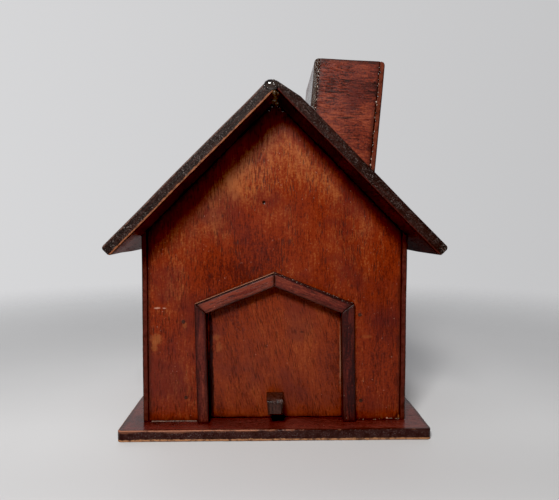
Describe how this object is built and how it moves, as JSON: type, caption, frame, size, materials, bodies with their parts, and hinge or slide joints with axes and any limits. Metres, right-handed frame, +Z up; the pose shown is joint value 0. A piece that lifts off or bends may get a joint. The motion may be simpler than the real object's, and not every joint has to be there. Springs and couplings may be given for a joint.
{
  "type": "wooden house money box",
  "caption": "Small wooden house money box on a plinth, with a pitched roof, a leaning hollow chimney for coins and a peg-pulled door that slides up to let them out.",
  "frame": {"origin": "underside of the base board, in the middle of the house's width and depth", "axes": "+Z up, the front with the door faces -Y, +X to the right seen from the front"},
  "size_m": [0.1708, 0.152, 0.2083],
  "materials": {
    "wall_plywood": "red-brown stain under worn semi-gloss varnish",
    "roof_plywood": "dark red-brown stain with nearly black speckled edges, semi-gloss",
    "base_plywood": "dark red-brown stain, glossy, with bare worn arrises",
    "chimney_plywood": "red-brown stain with dark cross grain, semi-gloss",
    "trim_wood": "dark purple-brown stain, semi-gloss",
    "door_plywood": "orange-brown stain, semi-gloss",
    "knob_wood": "almost black brown stain, glossy",
    "inner_wood": "bare, unvarnished",
    "pin_steel": "dull, browned by age"
  },
  "bodies": {
    "house": {"back_left_corner_batten": "inner_wood", "back_right_corner_batten": "inner_wood", "back_wall": "wall_plywood", "base_board": "base_plywood", "base_pins": "pin_steel", "chimney_back_board": "chimney_plywood", "chimney_front_board": "chimney_plywood", "chimney_left_board": "chimney_plywood", "chimney_right_board": "chimney_plywood", "chimney_slot_plate": "chimney_plywood", "front_left_corner_batten": "inner_wood", "front_right_corner_batten": "inner_wood", "front_wall": "wall_plywood", "guide_pins": "pin_steel", "left_door_jamb": "trim_wood", "left_door_rafter": "trim_wood", "left_floor_batten": "inner_wood", "left_guide_cover": "inner_wood", "left_guide_spacer": "inner_wood", "left_roof_board": "roof_plywood", "left_wall": "wall_plywood", "ridge_block": "inner_wood", "right_door_jamb": "trim_wood", "right_door_rafter": "trim_wood", "right_floor_batten": "inner_wood", "right_guide_cover": "inner_wood", "right_guide_spacer": "inner_wood", "right_roof_board": "roof_plywood", "right_wall": "wall_plywood"},
    "door": {"door_panel": "door_plywood", "door_knob": "knob_wood"}
  },
  "joints": [
    {"name": "door_slide", "type": "slide", "parent": "house", "child": "door", "axis": [0, 0, 1], "range_m": [0, 0.057]}
  ]
}
